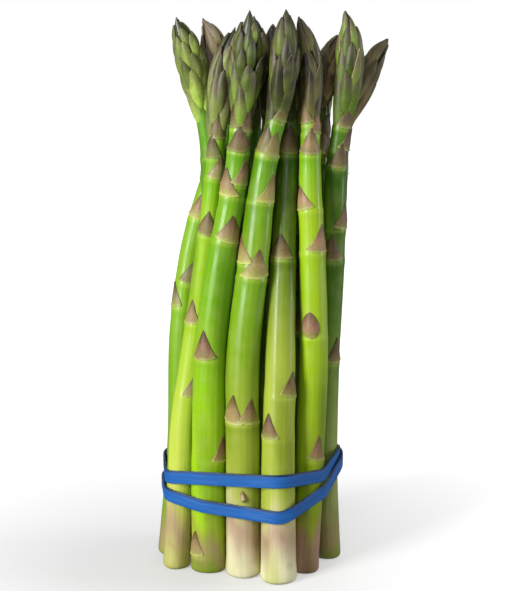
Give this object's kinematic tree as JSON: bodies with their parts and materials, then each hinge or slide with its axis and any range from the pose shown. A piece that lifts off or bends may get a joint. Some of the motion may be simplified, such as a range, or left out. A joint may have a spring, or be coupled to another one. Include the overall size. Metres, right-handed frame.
{
  "type": "bundle of asparagus",
  "caption": "Upright bundle of green asparagus spears standing on their cut ends, held near the foot by a blue rubber band wound twice round them.",
  "frame": {"origin": "middle of the bundle's box, on the plane of the cut ends it stands on", "axes": "+Z along the spears towards their heads, -Y towards the side with the thickest spears, +X towards the side where the band crosses itself"},
  "size_m": [0.095, 0.0609, 0.2287],
  "materials": {
    "asparagus_green": "satin",
    "blue_rubber": "satin"
  },
  "bodies": {
    "root": {"rubber_band": "blue_rubber", "spear_01": "asparagus_green", "spear_02": "asparagus_green", "spear_03": "asparagus_green", "spear_04": "asparagus_green", "spear_05": "asparagus_green", "spear_06": "asparagus_green", "spear_07": "asparagus_green", "spear_08": "asparagus_green", "spear_09": "asparagus_green", "spear_10": "asparagus_green", "spear_11": "asparagus_green", "spear_12": "asparagus_green", "spear_13": "asparagus_green", "spear_14": "asparagus_green", "spear_15": "asparagus_green", "spear_16": "asparagus_green"}
  },
  "joints": []
}
